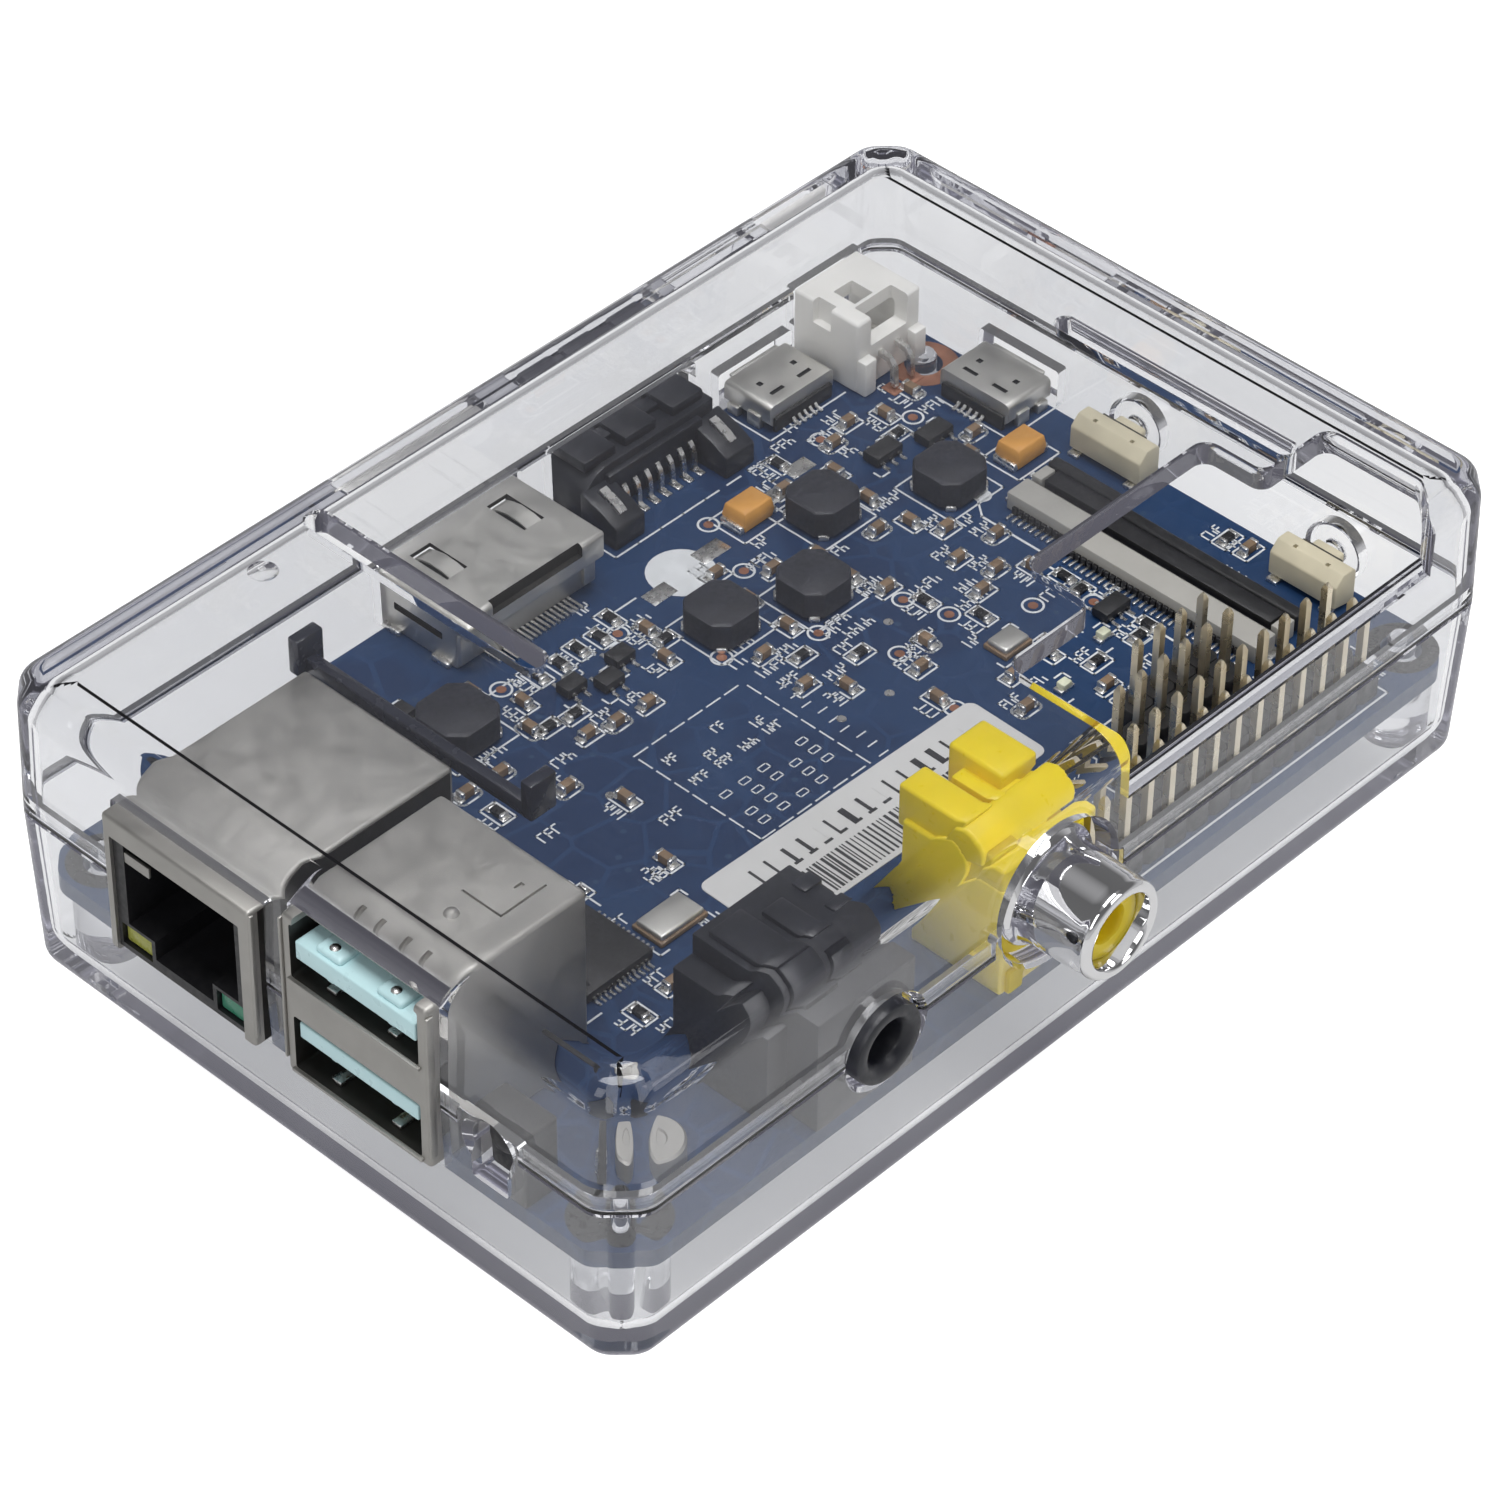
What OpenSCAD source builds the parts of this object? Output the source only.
// Single board computer in a clear two-part case.
// Frame: origin at the centre of the case's underside, +Z up.
// The Ethernet and USB end faces -X, the audio and video sockets face -Y.

/* [Case] */
// Length of the case along X
case_l = 97; // [97:0.1:97.4]
// Width of the case along Y
case_w = 65; // [65:0.1:65.4]
// Height of the closed case
case_h = 27.8; // [27.8:0.1:28.4]
// Thickness of the side walls
wall = 2; // [1.8:0.1:2]
// Thickness of the floor
floor_t = 2; // [1.6:0.1:2.2]
// Thickness of the lid plate
lid_t = 2; // [1.6:0.1:2]
// Height of the seam between the two shells
seam_z = 15.9; // [15.7:0.1:16.1]
// Leg of the chamfered vertical corners
corner_leg = 2.8; // [2.4:0.1:3.2]
// Radius of the rounded top and bottom edges
edge_r = 2; // [1.5:0.1:2.2]

/* [Board] */
// Length of the circuit board along X
board_l = 92; // [91.8:0.1:92]
// Width of the circuit board along Y
board_w = 60; // [59.8:0.1:60]
// Thickness of the circuit board
board_t = 1.6; // [1.6:0.1:1.6]
// Height of the board's top face
board_z = 10.1; // [10.1:0.1:10.1]

/* [Headers] */
// Spacing of the header pins
pitch = 2.54; // [2.5:0.01:2.56]
// Pin columns of the main header
header_cols = 13; // [4:1:13]
// Width of a square header pin
pin_w = 0.64; // [0.5:0.02:0.7]

/* [Motion] */
// Travel of the two case keys and their switches
key_travel = 0.4; // [0.2:0.1:0.4]

/* [Hidden] */

eps = 0.01;
fit = 0.3;
arc_steps = 3;
corner_r = 2.2;
lid_draft = 0.02;
tub_draft = 0.035;
tongue_t = 0.95;
tongue_h = 1.2;
groove_play = 0.15;
groove_inset = wall - tongue_t - 0.12;
leg_shrink = 0.59;
board_under = board_z - board_t;
inner_y = case_w / 2 - wall;
inner_x = case_l / 2 - wall;
wall_cut = 3 * wall;
lid_under = case_h - lid_t;

// Ethernet and USB sockets on the -X side
eth_x = [-49.6, -29.2];
eth_y = [3.5, 19.2];
eth_h = 13.3;
usb_x = [-49.3, -33.4];
usb_y = [-14.4, 0.4];
usb_h = 15.5;
usb_port_z = [0.8, 9.8];
usb_port_h = 5.1;
skin = 0.4;

// Sockets on the +Y side
hdmi_x = [-11, 4];
hdmi_y = [20.8, 31.5];
hdmi_h = 6;
hdmi_step = 1.4;
hdmi_wall = 2.6;
hdmi_step_h = 3.4;
sata_x = [7.9, 23.8];
sata_y = [27.4, 32.2];
sata_h = 5.8;
sata_body_h = 4.9;
sata_foot = [3.3, 3.9, 3];
sata_block_w = 3.6;
sata_blocks = [1, 5.6, 11];
power_x = [27.3, 34.8];
micro_d = 5.6;
micro_h = 2.6;
battery_x = [36, 43.6];
battery_y = [23.6, 30.8];
battery_h = 7;

// Socket and card slot on the +X side
data_y = [11.4, 18.9];
card_y = [-14, 14];
card_x = [18.5, 46];
card_h = 2.8;

// Jacks on the -Y side
jack_x = -21.6;
jack_z = 15.6;
jack_y = [-30.2, -19];
jack_top = 11;
jack_ring_r = 3.4;
jack_hole_r = 3.9;
video_x = -2.9;
video_z = 17.6;
video_y = [-30.2, -20.2];
video_tip = -38.5;
video_top = 13;
video_hole_r = 6.1;

// Infrared window in the -X wall
ir_y = -19.4;
ir_z = 15.2;
ir_tab_z = 17.4;
ir_hole_r = 2;

// Case keys in the +X wall
reset_y = 2.5;
power_y = -18.2;
key_z = board_z + 2.2;
key_r = 2.4;
key_strip = 2.6;
key_foot_z = 9.4;
key_slot = 0.35;
switch_h = 3.5;
switch_face = 45.1;
reset_len = 7.4;
power_len = 6.8;
switch_d = 3.6;
plunger_x = [-0.2, 1.1];
plunger_half = 1.4;
plunger_z = [1.3, 3.1];
plunger_play = 0.1;
plunger_gap = 0.04;

boss_x = switch_face + plunger_x[1] + plunger_gap;
boss_r = 1.1;

// Lid features
lid_slot_x = -19.4;
lid_slot_y = [5.2, 28];
lid_slot_w = 2;
side_slot_x = 38.3;
side_slot_y = [-18.5, 3.7];
side_slot_w = 1.6;
rib_x = -28.2;
rib_y = [-4, 20.7];
rib_z = 22.4;
notch_z = 22.1;
dimple = [-26.4, 26.6];
slot_arc = 22.5;
opening_r = 1.2;
opening_points = [
    [4.4, -38], [4.4, -20.3], [13.9, -20.3], [13.9, -13.6], [34.7, -13.6],
    [34.7, -19.5], [42.3, -19.5], [42.3, -28.6], [39.6, -31.8], [39.6, -38],
];

header_x = 36.7;
header_y = -27.5;
small_header_x = 21.5;
small_header_y = -21.4;
pair_header_x = 16.4;
header_base_h = 2.5;
header_tip = 8.8;

peg_spots = [[42.9, 22.4], [43.2, -26.6], [-42.5, 26.4], [-42.5, -26.4]];
peg_r = 1.1;
pillar_r = 2.7;
hole_r = 1.6;

inductor_spots = [
    [22.5, 14.8, 5.3], [14.7, 8.5, 5.3], [6.9, 11.1, 5.3], [32.3, 10, 5.3], [-16.2, 16.8, 5.8],
];
inductor_h = 2.7;
tantalum_spots = [[18.2, 18.9], [39.4, 8.6]];
tantalum_size = [3.5, 2.6, 1.9];
chip_x = -27;
chip_y = -7.7;
crystal_spots = [[-19.9, -9.4, 5, 3.2], [21, -6.4, 3.2, 2.5]];
lamp_spots = [[27.8, -10.4], [21.1, -12.2]];
small_chip_spots = [
    [30.6, -8.8, 2.9, 1.6], [-18.5, 21.3, 2.9, 1.6], [-6.5, 14.2, 2.1, 1.5],
    [-4, 12.6, 2.1, 1.5], [-1.4, 14, 2.1, 1.5], [31.5, 16.5, 3, 1.7], [36.2, 15.2, 3, 1.7],
];

// Chip capacitors: x, y, quarter turn
capacitor_spots = [
    [-22.4, 12.6, 0], [-20.6, 11.4, 0], [-17.2, 11.2, 0], [-12, 13.2, 1], [-12.2, 19.4, 1],
    [-10.2, 15.8, 1], [-9.4, 9.6, 0], [-6.8, 9, 0], [-3.6, 8.8, 0], [1.2, 11.6, 1],
    [2.6, 15, 1], [6.8, 6.4, 0], [10.8, 11.8, 1], [10.6, 7.4, 1], [11.2, 15.8, 0],
    [14.8, 13, 0], [18.6, 11.6, 1], [18.4, 8, 1], [19.4, 5, 0], [22.6, 19.2, 0],
    [24.2, 10.4, 0], [26.6, 13.6, 1], [26.8, 9.2, 1], [27.2, 17.8, 1], [28.2, 6.6, 0],
    [29.8, 20.4, 0], [32.6, 21.4, 0], [35.6, 20, 1], [36.6, 11.6, 1], [38.8, 13.2, 0],
    [24.4, -0.6, 0], [27.2, 0.4, 0], [29.4, -1.6, 1], [26, 3.4, 0], [30.4, 3.2, 0],
    [16.8, -1.6, 1], [14.2, -3.4, 0], [12.4, -6.8, 1], [18.6, -9.2, 0], [16.4, -12.4, 0],
    [8.6, -0.8, 1], [6.4, 1.6, 0], [-17.4, -12.6, 0], [-24.6, -14.2, 0], [44, -11.7, 0],
    [-12.6, 2.4, 1], [-14.8, 6.4, 0], [-15.4, -4.6, 1], [23.6, -14.4, 0], [39.4, 20.6, 1],
];
// Chip resistors: x, y, quarter turn
resistor_spots = [
    [-10.8, 12.4, 0], [-8.4, 12, 0], [-7.2, 17.2, 1], [-5, 17, 1], [-2.8, 17.2, 1],
    [-0.6, 17, 1], [1.6, 18, 1], [2.8, 13.2, 0], [8.8, 4.2, 0], [20.4, 1.8, 1],
    [22.2, -2.6, 1], [30.8, -5.4, 0], [31.2, -3.4, 1], [25.2, -12, 0], [23.4, -8.6, 1],
    [29.8, -12.4, 0], [31.4, -12, 1], [43.9, -9.6, 0], [34.4, 17.6, 0], [24.8, 21.8, 1],
    [-20.4, 8.2, 1], [-24.8, 16.6, 1], [-22.6, -2.4, 0], [-28.4, -14.6, 1], [12.2, 1.2, 0],
];

chip_cap = [1.6, 0.8, 0.8];
chip_res = [1.6, 0.8, 0.5];

// Outline of the case with chamfered corners, each blended by two short arcs
function octant_on_end(o) = o == 0 || o == 3 || o == 4 || o == 7;
function case_outline(l, w, leg, r) = [
    for (o = [0:7], i = [0:arc_steps])
        let (a = 45 * (o + i / arc_steps), run = leg + r * tan(22.5))
        [
            sign(cos(45 * o + 22.5)) * (l / 2 - (octant_on_end(o) ? r : run)) + r * cos(a),
            sign(sin(45 * o + 22.5)) * (w / 2 - (octant_on_end(o) ? run : r)) + r * sin(a),
        ],
];

// Thin slice of the case, drawn in from its widest outline
module case_slice(z, inset) {
    leg = max(corner_leg - leg_shrink * inset, 1);
    translate([0, 0, z])
        linear_extrude(eps)
            polygon(case_outline(case_l - 2 * inset, case_w - 2 * inset, leg, corner_r));
}

// Solid block between the floor and the seam, drawn in by a wall thickness
module tub_block(inset, z0) {
    hull() {
        for (a = [0:22.5:90])
            case_slice(z0 + edge_r * (1 - sin(a)),
                inset + edge_r * (1 - cos(a)) + (seam_z - z0) * tub_draft);
        case_slice(seam_z - eps, inset);
    }
}

// Solid block between the seam and the lid's top, drawn in by a wall thickness
module lid_block(inset, z1) {
    hull() {
        case_slice(seam_z, inset);
        for (a = [0:22.5:90])
            case_slice(z1 - eps - edge_r * (1 - sin(a)),
                inset + edge_r * (1 - cos(a)) + (z1 - seam_z) * lid_draft);
    }
}

// Upright block with the case's outline, drawn in by an inset
module case_plug(inset, z0, z1) {
    translate([0, 0, z0])
        linear_extrude(z1 - z0)
            polygon(case_outline(case_l - 2 * inset, case_w - 2 * inset,
                corner_leg - leg_shrink * inset, corner_r));
}

// Upright ring between two outlines
module case_ring(outer, inner, z0, z1) {
    translate([0, 0, z0])
        linear_extrude(z1 - z0)
            difference() {
                polygon(case_outline(case_l - 2 * outer, case_w - 2 * outer,
                    corner_leg - leg_shrink * outer, corner_r));
                polygon(case_outline(case_l - 2 * inner, case_w - 2 * inner,
                    corner_leg - leg_shrink * inner, corner_r));
            }
}

// Box from its low and high corners
module span_box(x, y, z) {
    translate([x[0], y[0], z[0]]) cube([x[1] - x[0], y[1] - y[0], z[1] - z[0]]);
}

// Window through the wall at one end of the case
module end_window(side, y, z) {
    x = side > 0 ? [inner_x - wall, inner_x + 2 * wall] : [-inner_x - 2 * wall, -inner_x + wall];
    span_box(x, y, z);
}

// Window through the wall at one side of the case
module side_window(side, x, z) {
    y = side > 0 ? [inner_y - wall, inner_y + 2 * wall] : [-inner_y - 2 * wall, -inner_y + wall];
    span_box(x, y, z);
}

// Windows for every socket, cut through both shells
module socket_windows() {
    end_window(-1, [eth_y[0] - fit, eth_y[1] + fit], [board_z - fit, board_z + eth_h + fit]);
    end_window(-1, [usb_y[0] - fit, usb_y[1] + fit], [board_z - fit, board_z + usb_h + fit / 2]);
    side_window(1, [hdmi_x[0] - fit, hdmi_x[1] + fit], [board_z - fit, board_z + hdmi_h + 0.5]);
    side_window(1, [sata_x[0] - fit, sata_x[1] + fit], [board_z - fit, board_z + sata_h + 0.5]);
    side_window(1, [power_x[0] - 0.6, power_x[1] + 0.6], [board_z - fit, board_z + 3.4]);
    side_window(1, [battery_x[0] - fit, battery_x[1] + fit],
        [board_z - fit, board_z + battery_h + fit]);
    end_window(1, [data_y[0] - 0.6, data_y[1] + 0.6], [board_z - fit, board_z + 3.4]);
    end_window(1, card_y, [board_under - card_h - 0.4, board_under]);
    translate([jack_x, -inner_y, jack_z])
        rotate([90, 0, 0])
            cylinder(r=jack_hole_r, h=wall_cut, center=true, $fn=48);
    translate([video_x, -inner_y, video_z])
        rotate([90, 0, 0])
            cylinder(r=video_hole_r, h=wall_cut, center=true, $fn=64);
    translate([-inner_x, ir_y, ir_z])
        rotate([0, 90, 0])
            cylinder(r=ir_hole_r, h=wall_cut, center=true, $fn=32);
    end_window(-1, [ir_y - 1.8, ir_y + 1.8], [board_z + 1.2, ir_z]);
}

// Slot with round ends, running along Y through the lid plate
module lid_slot(x, y, w) {
    translate([x, 0, lid_under - lid_t])
        linear_extrude(3 * lid_t)
            polygon([
                for (end = [0, 1], a = [0:slot_arc:180])
                    [w / 2 * cos(a + 180 * end + 180), y[end] + w / 2 * sin(a + 180 * end + 180)],
            ]);
}

// Points of one corner, rounded between its two neighbours
function round_corner(a, b, c, r) =
    let (u = (a - b) / norm(a - b), v = (c - b) / norm(c - b), half = acos(u * v) / 2,
        m = b + (u + v) / norm(u + v) * r / sin(half),
        start = b + u * r / tan(half) - m,
        turn = (180 - 2 * half) * sign(u[1] * v[0] - u[0] * v[1]),
        from = atan2(start[1], start[0]))
    [
        for (i = [0:arc_steps])
            m + r * [cos(from + turn * i / arc_steps), sin(from + turn * i / arc_steps)],
    ];

// Outline with every corner rounded
function round_outline(points, r) = [
    for (i = [0:len(points) - 1], p = round_corner(points[(i + len(points) - 1) % len(points)], points[i],
        points[(i + 1) % len(points)], r)) p,
];

// Stepped opening over the headers, with its notch down the -Y wall
module header_opening() {
    translate([0, 0, notch_z])
        linear_extrude(case_h)
            polygon(round_outline(opening_points, opening_r));
}

// Raised tabs of the lower wall, standing in notches of the upper wall
module seam_tabs(play) {
    side_window(-1, [video_x - 7 - play, video_x + 7 + play], [seam_z - 1, video_z + play]);
    end_window(-1, [ir_y - 3 - play, ir_y + 3 + play], [seam_z - 1, ir_tab_z + play]);
}

module case_top() {
    color([0.85, 0.87, 0.9, 0.35])
        difference() {
            union() {
                difference() {
                    lid_block(0, case_h);
                    lid_block(wall, lid_under);
                    case_plug(groove_inset, seam_z - 1, seam_z + tongue_h + groove_play);
                }
                span_box([rib_x - 0.6, rib_x + 0.6], rib_y, [rib_z, lid_under + 0.5]);
                span_box([rib_x - 1.4, rib_x + 1.4], [rib_y[1] - 1.2, rib_y[1]], [rib_z, lid_under + 0.5]);
                span_box([rib_x - 0.6, rib_x + 2.2], [rib_y[0], rib_y[0] + 1.2], [rib_z, lid_under + 0.5]);
            }
            socket_windows();
            seam_tabs(0.06);
            header_opening();
            lid_slot(lid_slot_x, lid_slot_y, lid_slot_w);
            lid_slot(side_slot_x, side_slot_y, side_slot_w);
            translate([dimple[0], dimple[1], case_h - 0.6]) cylinder(r=1.2, h=lid_t, $fn=32);
        }
}

// Slot that frees a flexing key from the +X wall
module key_shape(y, grow, x0, depth) {
    translate([x0, y, key_z]) rotate([0, 90, 0]) cylinder(r=key_r + grow, h=depth, $fn=48);
    span_box([x0, x0 + depth], [y - key_strip / 2 - grow, y + key_strip / 2 + grow],
        [key_foot_z - grow, key_z]);
}

module board_pegs() {
    for (p = peg_spots) {
        translate([p[0], p[1], floor_t - eps]) cylinder(r=pillar_r, h=board_under - floor_t, $fn=32);
        translate([p[0], p[1], board_under - eps]) cylinder(r=peg_r, h=board_t + 1.2, $fn=32);
    }
}

module case_bottom() {
    color([0.82, 0.84, 0.88, 0.4])
        difference() {
            union() {
                difference() {
                    union() {
                        tub_block(0, 0);
                        case_ring(wall - tongue_t, wall, seam_z - eps, seam_z + tongue_h);
                        intersection() {
                            case_ring(0, wall, seam_z - eps, video_z);
                            seam_tabs(0);
                        }
                    }
                    tub_block(wall, floor_t);
                }
                board_pegs();
                for (x = [-35, 15])
                    span_box([x, x + 16], [inner_y - 1.2, inner_y + 0.5], [seam_z - 11, board_under]);
                for (x = [-38, 20])
                    span_box([x, x + 16], [-inner_y - 0.5, -inner_y + 1.2], [seam_z - 11, board_under]);
            }
            socket_windows();
            for (y = [reset_y, power_y])
                key_shape(y, key_slot, inner_x - wall, wall_cut);
        }
}

// Flexing key: round pad, its strip, and a boss that reaches the switch
module case_key(y) {
    color([0.85, 0.87, 0.9, 0.5]) {
        key_shape(y, 0, inner_x + 0.05, wall - 0.55);
        translate([boss_x, y, key_z])
            rotate([0, 90, 0])
                cylinder(r=boss_r, h=inner_x + 0.1 - boss_x, $fn=32);
    }
}

module reset_key() {
    case_key(reset_y);
}

module power_key() {
    case_key(power_y);
}

module circuit_board() {
    color([0.1, 0.18, 0.33])
        difference() {
            translate([0, 0, board_under])
                linear_extrude(board_t)
                    polygon(case_outline(board_l, board_w, 2.2, 2));
            for (p = peg_spots)
                translate([p[0], p[1], board_under - 1]) cylinder(r=hole_r, h=board_t + 2, $fn=32);
        }
}

// Sheet metal box, open at its -X face
module open_end_box(x, y, z, t) {
    difference() {
        span_box(x, y, z);
        span_box([x[0] - 1, x[1] - t], [y[0] + t, y[1] - t], [z[0] + t, z[1] - t]);
    }
}

module ethernet_shell() {
    color([0.66, 0.65, 0.62])
        difference() {
            open_end_box(eth_x, eth_y, [board_z, board_z + eth_h], skin);
            span_box([eth_x[0] + 2, eth_x[1] - 3], [eth_y[0] + 2, eth_y[1] - 2], [board_z - 1, board_z + 1]);
        }
}

module ethernet_insert() {
    block = [[eth_x[0] + 0.3, eth_x[1] - skin - 0.02], [eth_y[0] + skin + 0.02, eth_y[1] - skin - 0.02],
        [board_z + skin + 0.02, board_z + eth_h - skin - 0.02]];
    mid = (eth_y[0] + eth_y[1]) / 2;
    color([0.08, 0.08, 0.09])
        difference() {
            span_box(block[0], block[1], block[2]);
            span_box([eth_x[0] - 1, eth_x[0] + 13], [mid - 5.9, mid + 5.9], [board_z + 3.2, board_z + 11.2]);
            span_box([eth_x[0] - 1, eth_x[0] + 13], [mid - 3.1, mid + 3.1], [board_z + 1.4, board_z + 4]);
            for (s = [-1, 1])
                span_box([eth_x[0] - 1, eth_x[0] + 3], [mid + s * 5.1 - 1.6, mid + s * 5.1 + 1.6],
                    [board_z + 0.9, board_z + 2.9]);
        }
}

module ethernet_contacts() {
    mid = (eth_y[0] + eth_y[1]) / 2;
    color([0.85, 0.68, 0.35])
        for (i = [0:7])
            translate([eth_x[0] + 4, mid + (i - 3.5) * 1.02 - 0.2, board_z + 10.2])
                cube([8.6, 0.4, 0.6]);
}

module ethernet_lamps() {
    mid = (eth_y[0] + eth_y[1]) / 2;
    for (s = [-1, 1])
        color(s > 0 ? [0.62, 0.68, 0.3] : [0.2, 0.5, 0.38])
            span_box([eth_x[0] + 0.6, eth_x[0] + 2.9], [mid + s * 5.1 - 1.5, mid + s * 5.1 + 1.5],
                [board_z + 1, board_z + 2.8]);
}

module usb_shell() {
    color([0.68, 0.66, 0.62])
        difference() {
            span_box(usb_x, usb_y, [board_z, board_z + usb_h]);
            for (z = usb_port_z)
                span_box([usb_x[0] - 1, usb_x[1] - skin], [usb_y[0] + 1, usb_y[1] - 1],
                    [board_z + z, board_z + z + usb_port_h]);
        }
}

module usb_tongues() {
    color([0.72, 0.9, 0.92])
        for (z = usb_port_z) {
            span_box([usb_x[0] + 1, usb_x[1] - skin - 3 + eps], [usb_y[0] + 1.8, usb_y[1] - 1.8],
                [board_z + z + 2.6, board_z + z + 4.5]);
            span_box([usb_x[1] - skin - 3, usb_x[1] - skin - 0.02], [usb_y[0] + 1.02, usb_y[1] - 1.02],
                [board_z + z + 0.02, board_z + z + usb_port_h - 0.02]);
        }
}

module usb_contacts() {
    color([0.86, 0.72, 0.4])
        for (z = usb_port_z, i = [0:3])
            translate([usb_x[0] + 2, (usb_y[0] + usb_y[1]) / 2 + (i - 1.5) * 2.3 - 0.5, board_z + z + 2.31])
                cube([8, 1, 0.28]);
}

module hdmi_shell() {
    color([0.74, 0.73, 0.71])
        difference() {
            span_box(hdmi_x, hdmi_y, [board_z, board_z + hdmi_h]);
            span_box([hdmi_x[0] - 1, hdmi_x[1] + 1], [hdmi_y[0] - 1, hdmi_y[0] + hdmi_step],
                [board_z - 1, board_z + hdmi_step_h]);
            span_box([hdmi_x[0] + skin, hdmi_x[1] - skin], [hdmi_y[0] + hdmi_wall, hdmi_y[1] + 1],
                [board_z + 0.9, board_z + hdmi_h - skin]);
        }
}

module hdmi_insert() {
    mid = (hdmi_x[0] + hdmi_x[1]) / 2;
    color([0.07, 0.07, 0.08]) {
        span_box([hdmi_x[0] + skin + 0.02, hdmi_x[1] - skin - 0.02],
            [hdmi_y[0] + hdmi_wall + 0.02, hdmi_y[0] + hdmi_wall + 1.6],
            [board_z + 0.92, board_z + hdmi_h - skin - 0.02]);
        span_box([mid - 5.6, mid + 5.6], [hdmi_y[0] + hdmi_wall + 1.6, hdmi_y[1] - 1.2],
            [board_z + 2.6, board_z + 4.2]);
    }
}

module hdmi_pins() {
    mid = (hdmi_x[0] + hdmi_x[1]) / 2;
    color([0.8, 0.79, 0.76])
        for (i = [0:18])
            translate([mid + (i - 9) * 0.5 - 0.12, hdmi_y[0] - 0.3, board_z + 0.01])
                cube([0.24, hdmi_step + 0.28, 0.25]);
}

module sata_housing() {
    color([0.07, 0.08, 0.11]) {
        difference() {
            union() {
                span_box(sata_x, sata_y, [board_z, board_z + sata_body_h]);
                for (x = sata_blocks)
                    span_box([sata_x[0] + x, sata_x[0] + x + sata_block_w],
                        [sata_y[0] + 0.6, sata_y[1] - 0.6], [board_z + sata_body_h - eps, board_z + sata_h]);
            }
            span_box([sata_x[0] + 1.7, sata_x[1] - 1.7], [sata_y[0] + 1.4, sata_y[1] + 1],
                [board_z + 1.2, board_z + 4.3]);
        }
        span_box([sata_x[0] + 3.4, sata_x[1] - 3.4], [sata_y[0] + 1.4 - eps, sata_y[1] - 0.6],
            [board_z + 2.4, board_z + 3.4]);
        for (x = [sata_x[0], sata_x[1] - sata_foot[0]])
            span_box([x, x + sata_foot[0]], [sata_y[0] - sata_foot[1], sata_y[0] + eps],
                [board_z, board_z + sata_foot[2]]);
    }
}
module sata_pins() {
    mid = (sata_x[0] + sata_x[1]) / 2;
    color([0.78, 0.77, 0.74])
        for (i = [0:6])
            translate([mid + (i - 3) * 1.27 - 0.2, 0, 0]) {
                span_box([0, 0.4], [sata_y[0] - 1.9, sata_y[0] - 1], [board_z + 0.01, board_z + 0.3]);
                span_box([0, 0.4], [sata_y[0] - 1.3, sata_y[0] - 1], [board_z + 0.01, board_z + 2.9]);
                span_box([0, 0.4], [sata_y[0] - 1.3, sata_y[0] - 0.02], [board_z + 2.6, board_z + 2.9]);
            }
}

// Small flat socket shell: local Y runs into the socket
module micro_shell(len) {
    difference() {
        span_box([0, len], [0, micro_d], [0, micro_h]);
        span_box([0.3, len - 0.3], [0.3, micro_d + 1], [0.3, micro_h - 0.3]);
    }
}

module micro_tongue(len) {
    span_box([0.32, len - 0.32], [0.32, 1.6], [0.32, micro_h - 0.32]);
    span_box([1.9, len - 1.9], [1.6 - eps, micro_d - 0.6], [1.3, 1.9]);
    for (i = [0:4])
        span_box([len / 2 + (i - 2) * 0.65 - 0.15, len / 2 + (i - 2) * 0.65 + 0.15], [-1.2, -0.02],
            [0.01, 0.3]);
}

module power_socket_place() {
    translate([power_x[0], 30.7 - micro_d, board_z]) children();
}

module data_socket_place() {
    translate([46.6 - micro_d, data_y[1], board_z]) rotate([0, 0, -90]) children();
}

module power_socket_shell() {
    color([0.78, 0.77, 0.75]) power_socket_place() micro_shell(power_x[1] - power_x[0]);
}

module power_socket_tongue() {
    color([0.1, 0.1, 0.11]) power_socket_place() micro_tongue(power_x[1] - power_x[0]);
}

module data_socket_shell() {
    color([0.78, 0.77, 0.75]) data_socket_place() micro_shell(data_y[1] - data_y[0]);
}

module data_socket_tongue() {
    color([0.1, 0.1, 0.11]) data_socket_place() micro_tongue(data_y[1] - data_y[0]);
}

module battery_socket() {
    color([0.93, 0.92, 0.9])
        difference() {
            span_box(battery_x, battery_y, [board_z, board_z + battery_h]);
            span_box([battery_x[0] + 0.8, battery_x[1] - 0.8], [battery_y[0] + 1.2, battery_y[1] + 1],
                [board_z + 0.9, board_z + battery_h - 1.2]);
            span_box([battery_x[0] + 2.4, battery_x[1] - 2.4], [battery_y[0] - 1, battery_y[0] + 2],
                [board_z + 3.6, board_z + battery_h + 1]);
        }
}

module battery_socket_pins() {
    mid = (battery_x[0] + battery_x[1]) / 2;
    color([0.78, 0.75, 0.7])
        for (s = [-1, 1])
            translate([mid + s * 1 - 0.25, 0, 0]) {
                span_box([0, 0.5], [battery_y[0] - 1.9, battery_y[0] - 1.4],
                    [board_z + 0.01, board_z + 3.1]);
                span_box([0, 0.5], [battery_y[0] - 1.9, battery_y[0] - 0.02],
                    [board_z + 2.6, board_z + 3.1]);
                span_box([0, 0.5], [battery_y[0] + 1.3, battery_y[0] + 5.4], [board_z + 2.6, board_z + 3.1]);
            }
}

module audio_jack_body() {
    color([0.06, 0.065, 0.08])
        difference() {
            union() {
                span_box([-29.6, -17.4], [jack_y[0] + 3, jack_y[1]], [board_z, board_z + 8.6]);
                span_box([-27.6, -17.4], jack_y, [board_z, board_z + jack_top - 0.4]);
                span_box([-27, -20], [jack_y[0] + 1.6, jack_y[1] - 1.2],
                    [board_z + 8.5, board_z + jack_top]);
            }
            translate([jack_x, jack_y[0] - 1, jack_z]) rotate([-90, 0, 0]) cylinder(r=2.9, h=12, $fn=48);
        }
}

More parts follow.
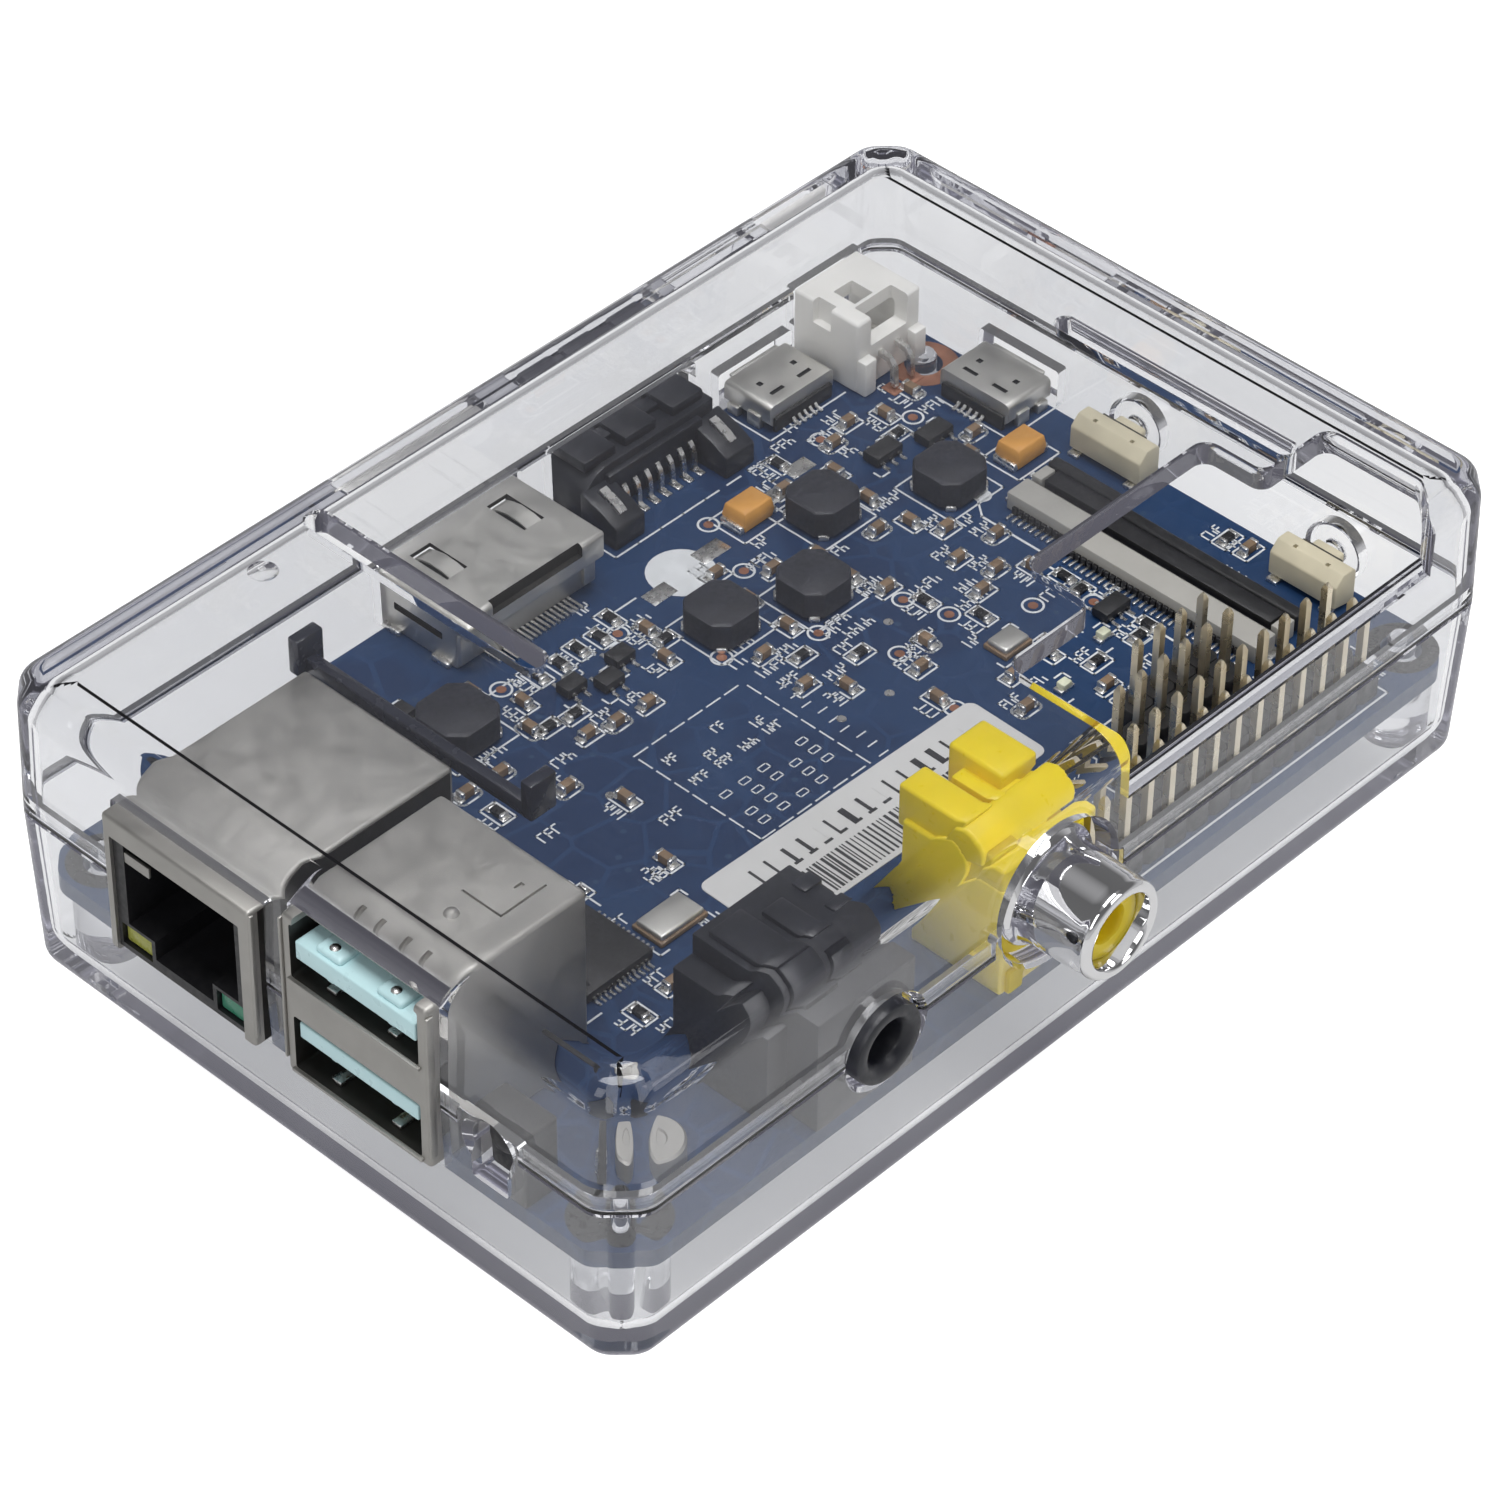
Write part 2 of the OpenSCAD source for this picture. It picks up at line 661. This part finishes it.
module audio_jack_sleeve() {
    color([0.05, 0.05, 0.055])
        translate([jack_x, 0, jack_z])
            rotate([90, 0, 0])
                difference() {
                    union() {
                        translate([0, 0, -jack_y[0] + 0.02]) cylinder(r=jack_ring_r, h=2.7, $fn=64);
                        translate([0, 0, 22]) cylinder(r=2.88, h=-jack_y[0] - 21.9, $fn=64);
                    }
                    translate([0, 0, 23]) cylinder(r=1.8, h=12, $fn=48);
                }
}

module video_jack_body() {
    x = [video_x - 5.2, video_x + 5.2];
    color([0.93, 0.8, 0.1])
        difference() {
            union() {
                span_box(x, video_y, [board_z, board_z + video_top - 1.6]);
                span_box([x[0], x[1] - 3], [video_y[0], video_y[1] - 1], [board_z + 8, board_z + video_top]);
                span_box([x[0] + 4.4, x[1]], [video_y[1] - 3.4, video_y[1]],
                    [board_z + 8, board_z + video_top]);
            }
            span_box([x[0] + 3.1, x[0] + 4.4], [video_y[0] + 3, video_y[1] + 1],
                [board_z + 10.6, board_z + video_top + 1]);
            span_box([x[0] - 1, x[1] + 1], [video_y[0] + 2.6, video_y[0] + 3.6],
                [board_z + 11.8, board_z + video_top + 1]);
            translate([video_x, video_y[0] - 1, video_z]) rotate([-90, 0, 0]) cylinder(r=3.2, h=9.4, $fn=48);
        }
}

module video_jack_barrel() {
    color([0.8, 0.8, 0.8])
        translate([video_x, 0, video_z])
            rotate([90, 0, 0])
                difference() {
                    union() {
                        translate([0, 0, -video_y[0] + 0.02]) cylinder(r=5.6, h=2.6, $fn=64);
                        translate([0, 0, -video_y[0] + 2.4])
                            cylinder(r=4.2, h=-video_tip + video_y[0] - 2.4, $fn=64);
                    }
                    translate([0, 0, 29]) cylinder(r=3.2, h=12, $fn=64);
                }
}

module video_jack_insert() {
    color([0.93, 0.85, 0.1])
        translate([video_x, 0, video_z])
            rotate([90, 0, 0])
                difference() {
                    translate([0, 0, 22]) cylinder(r=3.15, h=-video_tip - 22 - 1.4, $fn=64);
                    translate([0, 0, 24]) cylinder(r=1.6, h=20, $fn=48);
                }
}

// Grid of square pins standing through the board
module pin_grid(x, y, cols, rows) {
    for (i = [0:cols - 1], j = [0:rows - 1])
        translate([x + i * pitch - pin_w / 2, y + j * pitch - pin_w / 2, board_z + 0.2])
            cube([pin_w, pin_w, header_tip - 0.2]);
}

// Black base with one hole for each pin
module pin_base(x, y, cols, rows) {
    difference() {
        span_box([x - pitch / 2, x + (cols - 0.5) * pitch], [y - pitch / 2, y + (rows - 0.5) * pitch],
            [board_z, board_z + header_base_h]);
        for (i = [0:cols - 1], j = [0:rows - 1])
            translate([x + i * pitch - pin_w / 2 - eps, y + j * pitch - pin_w / 2 - eps, board_z + 0.19])
                cube([pin_w + 2 * eps, pin_w + 2 * eps, header_tip]);
    }
}

module header_base() {
    color([0.07, 0.07, 0.08]) pin_base(header_x - (header_cols - 1) * pitch, header_y, header_cols, 2);
}

module header_pins() {
    color([0.8, 0.76, 0.66]) pin_grid(header_x - (header_cols - 1) * pitch, header_y, header_cols, 2);
}

module small_header_bases() {
    color([0.07, 0.07, 0.08]) {
        pin_base(small_header_x, small_header_y, 4, 2);
        pin_base(pair_header_x, small_header_y, 2, 1);
    }
}

module small_header_pins() {
    color([0.8, 0.76, 0.66]) {
        pin_grid(small_header_x, small_header_y, 4, 2);
        pin_grid(pair_header_x, small_header_y, 2, 1);
    }
}

module camera_socket_body() {
    color([0.72, 0.71, 0.68])
        difference() {
            span_box([33.6, 38.4], [-21, 5], [board_z, board_z + 1.7]);
            span_box([36.6, 39], [-20, 4], [board_z + 0.5, board_z + 2]);
        }
}

module camera_socket_latch() {
    color([0.06, 0.06, 0.07]) {
        span_box([36.8, 38.5], [-19.8, 3.8], [board_z + 0.9, board_z + 1.7]);
        span_box([38.5 - eps, 39.7], [-21, 5], [board_z + 0.3, board_z + 1.9]);
    }
}

module camera_socket_contacts() {
    color([0.82, 0.81, 0.78])
        for (i = [0:39])
            translate([32.4, -20 + i * 0.61, board_z + 0.01]) cube([1.18, 0.25, 0.2]);
}

// Side-pressed switch with a pocket for its plunger
module switch_body(y, len) {
    difference() {
        span_box([switch_face - switch_d, switch_face], [y - len / 2, y + len / 2],
            [board_z, board_z + switch_h]);
        span_box([switch_face - key_travel - fit, switch_face + 1],
            [y - plunger_half - plunger_play, y + plunger_half + plunger_play],
            [board_z + plunger_z[0] - plunger_play, board_z + plunger_z[1] + plunger_play]);
    }
}

module switch_plunger(y) {
    span_box([switch_face + plunger_x[0], switch_face + plunger_x[1]], [y - plunger_half, y + plunger_half],
        [board_z + plunger_z[0], board_z + plunger_z[1]]);
}

module reset_switch_body() { color([0.85, 0.82, 0.72]) switch_body(reset_y, reset_len); }
module power_switch_body() { color([0.85, 0.82, 0.72]) switch_body(power_y, power_len); }
module reset_plunger() { color([0.85, 0.82, 0.72]) switch_plunger(reset_y); }
module power_plunger() { color([0.85, 0.82, 0.72]) switch_plunger(power_y); }

// Block centred on a spot of the board's top face
module top_block(x, y, size) {
    translate([x - size[0] / 2, y - size[1] / 2, board_z + eps]) cube(size);
}

module inductors() {
    color([0.09, 0.09, 0.12])
        for (p = inductor_spots)
            intersection() {
                top_block(p[0], p[1], [p[2], p[2], inductor_h]);
                translate([p[0], p[1], board_z]) cylinder(r=p[2] * 0.63, h=inductor_h + 1, $fn=48);
            }
}

module tantalum_capacitors() {
    color([0.86, 0.55, 0.22])
        for (p = tantalum_spots)
            top_block(p[0], p[1], tantalum_size);
}

module crystals() {
    color([0.75, 0.73, 0.68])
        for (p = crystal_spots)
            top_block(p[0], p[1], [p[2], p[3], 0.9]);
}

module indicator_lamps() {
    color([0.9, 0.92, 0.85])
        for (p = lamp_spots)
            top_block(p[0], p[1], [1.6, 0.9, 0.8]);
}

module ethernet_chip() {
    color([0.1, 0.1, 0.11]) {
        top_block(chip_x, chip_y, [7, 7, 1]);
        for (turn = [0:90:270], i = [0:11])
            translate([chip_x, chip_y, board_z + eps])
                rotate([0, 0, turn])
                    translate([3.52, (i - 5.5) * 0.5 - 0.1, 0])
                        cube([0.7, 0.2, 0.15]);
    }
}

module small_chips() {
    color([0.1, 0.1, 0.11])
        for (p = small_chip_spots)
            top_block(p[0], p[1], [p[2], p[3], 1]);
}

module chip_set(spots, size) {
    for (p = spots)
        top_block(p[0], p[1], p[2] == 0 ? size : [size[1], size[0], size[2]]);
}

module ceramic_capacitors() { color([0.55, 0.44, 0.33]) chip_set(capacitor_spots, chip_cap); }
module chip_resistors() { color([0.12, 0.12, 0.13]) chip_set(resistor_spots, chip_res); }

module board_label() {
    color([0.93, 0.93, 0.93])
        translate([-0.9, -12.5, board_z + eps])
            rotate([0, 0, -1]) translate([-14.9, -4.1, 0]) cube([29.8, 8.2, 0.1]);
}

module infrared_receiver() {
    color([0.05, 0.05, 0.06]) {
        span_box([-46.1, -42.9], [ir_y - 2.6, ir_y + 2.6], [board_z + eps, board_z + 7]);
        translate([-46.1, ir_y, ir_z]) sphere(r=1.6, $fn=24);
    }
}

module microphone() {
    color([0.6, 0.6, 0.6])
        translate([-37.5, -23.5, board_z + eps]) cylinder(d=5, h=2, $fn=32);
}

// Block centred on a spot of the board's underside
module under_block(x, y, size) {
    translate([x - size[0] / 2, y - size[1] / 2, board_under - eps - size[2]]) cube(size);
}

module processor_chip() { color([0.12, 0.12, 0.13]) under_block(-3, -1.4, [19, 19, 1.3]); }
module power_chip() { color([0.12, 0.12, 0.13]) under_block(12, 14, [6, 6, 0.9]); }

module memory_chips() {
    color([0.12, 0.12, 0.13])
        for (y = [-7.5, 5.5])
            under_block(-24, y, [9, 11, 1.1]);
}

module card_socket_frame() {
    color([0.08, 0.08, 0.09])
        difference() {
            span_box(card_x, card_y, [board_under - card_h, board_under - eps]);
            span_box([card_x[0] + 3, card_x[1] + 1], [card_y[0] + 1.5, card_y[1] - 1.5],
                [board_under - card_h - 1, board_under - 0.6]);
        }
}

module card_socket_cover() {
    color([0.7, 0.69, 0.67])
        span_box([card_x[0], card_x[1] - 1.5], [card_y[0] + 0.4, card_y[1] - 0.4],
            [board_under - card_h - 0.25, board_under - card_h - eps]);
}

case_top();
case_bottom();
reset_key();
power_key();
circuit_board();
ethernet_shell();
ethernet_insert();
ethernet_contacts();
ethernet_lamps();
usb_shell();
usb_tongues();
usb_contacts();
hdmi_shell();
hdmi_insert();
hdmi_pins();
sata_housing();
sata_pins();
power_socket_shell();
power_socket_tongue();
data_socket_shell();
data_socket_tongue();
battery_socket();
battery_socket_pins();
audio_jack_body();
audio_jack_sleeve();
video_jack_body();
video_jack_barrel();
video_jack_insert();
header_base();
header_pins();
small_header_bases();
small_header_pins();
camera_socket_body();
camera_socket_latch();
camera_socket_contacts();
reset_switch_body();
reset_plunger();
power_switch_body();
power_plunger();
inductors();
tantalum_capacitors();
crystals();
indicator_lamps();
ethernet_chip();
small_chips();
ceramic_capacitors();
chip_resistors();
board_label();
infrared_receiver();
microphone();
processor_chip();
memory_chips();
power_chip();
card_socket_frame();
card_socket_cover();
